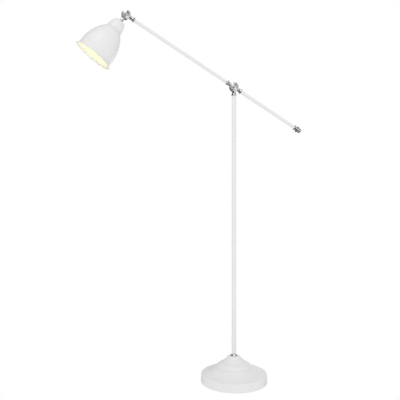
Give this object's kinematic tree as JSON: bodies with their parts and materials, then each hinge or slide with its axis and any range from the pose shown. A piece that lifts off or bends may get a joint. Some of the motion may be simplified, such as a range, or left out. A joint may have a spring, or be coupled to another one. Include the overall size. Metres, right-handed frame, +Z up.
{
  "type": "adjustable arm floor lamp",
  "caption": "Tall floor lamp: weighted round base, pole, and a tilting counter-arm on a friction knuckle that carries a swivelling bell shade with a lit bulb.",
  "frame": {"origin": "centre of the base on the floor, on the pole's axis", "axes": "+Z up along the pole; the arm lies in the XZ plane at rest with the shade towards -X; the knuckles pivot about Y and their wing screws face -Y"},
  "size_m": [0.9467, 0.2874, 1.5397],
  "materials": {
    "white_paint": "satin",
    "chrome": "polished",
    "plated_steel": "satin",
    "cast_iron": "matte",
    "felt": "matte",
    "gland_rubber": "matte",
    "wire_sheath": "satin",
    "fibre": "matte",
    "holder_plastic": "satin",
    "porcelain": "gloss",
    "brass": "satin",
    "bulb_nickel": "satin",
    "bulb_frost": "satin"
  },
  "bodies": {
    "stand": {"base_felt": "felt", "base_plate": "plated_steel", "base_plate_screws": "plated_steel", "base_ballast": "cast_iron", "base_cover": "white_paint", "base_lock_washer": "plated_steel", "base_lock_nut": "plated_steel", "cable_gland": "gland_rubber", "pole_nipple": "plated_steel", "pole_foot_bush": "plated_steel", "pole_foot_ferrule": "chrome", "pole_tube": "white_paint", "pole_wire": "wire_sheath", "pole_top_ferrule": "chrome"},
    "pole_knuckle": {"pole_knuckle": "chrome", "pole_swivel_clip": "plated_steel"},
    "arm": {"arm_knuckle": "chrome", "arm_friction_washer": "fibre", "arm_collar_front": "chrome", "arm_collar_rear": "chrome", "arm_tube_front": "white_paint", "arm_tube_rear": "white_paint", "arm_wire": "wire_sheath", "arm_end_collar": "chrome", "tail_collar": "chrome", "tail_knob": "chrome"},
    "arm_wing_screw": {"arm_wing_screw": "chrome", "arm_spring_washer": "plated_steel"},
    "head_link": {"head_knuckle_arm_half": "chrome", "head_friction_washer": "fibre", "head_swivel_clip": "plated_steel"},
    "head_wing_screw": {"head_wing_screw": "chrome", "head_spring_washer": "plated_steel"},
    "shade": {"head_knuckle_shade_half": "chrome", "shade_collar": "chrome", "shade_cap": "white_paint", "shade_bell": "white_paint", "shade_ring": "holder_plastic", "lampholder_body": "holder_plastic", "lampholder_insulator": "porcelain", "lampholder_contact": "brass", "lampholder_sleeve": "brass", "bulb_cap": "bulb_nickel", "bulb_glass": "bulb_frost", "head_wire": "wire_sheath"}
  },
  "joints": [
    {"name": "arm_swivel", "type": "hinge", "parent": "stand", "child": "pole_knuckle", "pos_m": [0, 0, 1.243], "axis": [0, 0, 1], "range_deg": [-170, 170]},
    {"name": "arm_tilt", "type": "hinge", "parent": "pole_knuckle", "child": "arm", "pos_m": [0, 0, 1.243], "axis": [0, 1, 0], "range_deg": [-78, 15]},
    {"name": "arm_wing_screw_turn", "type": "hinge", "parent": "arm", "child": "arm_wing_screw", "pos_m": [0, 0, 1.243], "axis": [0, -1, 0], "range_deg": [0, 270]},
    {"name": "head_swivel", "type": "hinge", "parent": "arm", "child": "head_link", "pos_m": [-0.45193, 0, 1.52103], "axis": [-0.8517, 0, 0.524], "range_deg": [-170, 170]},
    {"name": "head_wing_screw_turn", "type": "hinge", "parent": "head_link", "child": "head_wing_screw", "pos_m": [-0.45193, 0, 1.52103], "axis": [0, -1, 0], "range_deg": [0, 270]},
    {"name": "head_tilt", "type": "hinge", "parent": "head_link", "child": "shade", "pos_m": [-0.45193, 0, 1.52103], "axis": [0, 1, 0], "range_deg": [-40, 130]}
  ]
}
